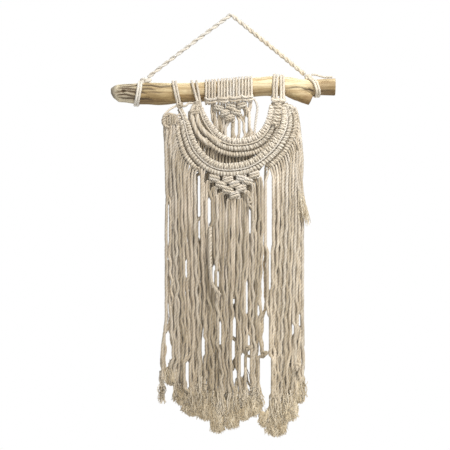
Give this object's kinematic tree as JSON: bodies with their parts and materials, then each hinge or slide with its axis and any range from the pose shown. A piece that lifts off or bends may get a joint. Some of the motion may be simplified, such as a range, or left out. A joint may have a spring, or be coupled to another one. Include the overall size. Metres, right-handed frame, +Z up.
{
  "type": "macrame wall hanging on a cut branch",
  "caption": "Knotted cotton wall hanging on a peeled branch: two draped swags of ridges and square-knot triangles over a long cord fringe, hung by one cord.",
  "frame": {"origin": "the point where the nail bears on the underside of the hanger cord, at its top bend", "axes": "+Z up, +X to the right as one faces the hanging, the wall on the +Y side and the knotted face towards -Y"},
  "size_m": [0.3385, 0.0584, 0.6379],
  "materials": {
    "peeled_wood": "peeled, dried branch, pale yellow-brown with a weathered left end",
    "cotton_cord": "natural three-strand twisted cotton cord, matt, knotted",
    "cotton_fringe": "the same cotton cord hanging free, its ends combed out"
  },
  "bodies": {
    "root": {"branch": "peeled_wood", "bridge_cord": "cotton_cord", "cap_cord": "cotton_cord", "hanger": "cotton_cord", "hanger_tail": "cotton_cord", "hanger_tie_left": "cotton_cord", "hanger_tie_right": "cotton_cord", "inner_fringe": "cotton_fringe", "inner_heads": "cotton_cord", "inner_ridge_lower": "cotton_cord", "inner_ridge_upper": "cotton_cord", "left_cap": "cotton_cord", "left_loop_inner": "cotton_cord", "left_loop_outer": "cotton_cord", "outer_fringe_centre": "cotton_fringe", "outer_fringe_left": "cotton_fringe", "outer_fringe_right": "cotton_fringe", "outer_heads": "cotton_cord", "outer_knots": "cotton_cord", "outer_ridge": "cotton_cord", "outer_side_ridge_left": "cotton_cord", "outer_side_ridge_right": "cotton_cord", "panel_fringe": "cotton_fringe", "panel_knots": "cotton_cord", "panel_mount_1": "cotton_cord", "panel_mount_2": "cotton_cord", "panel_mount_3": "cotton_cord", "panel_mount_4": "cotton_cord", "right_mount_inner": "cotton_cord", "right_mount_outer": "cotton_cord", "side_strand": "cotton_cord"}
  },
  "joints": []
}
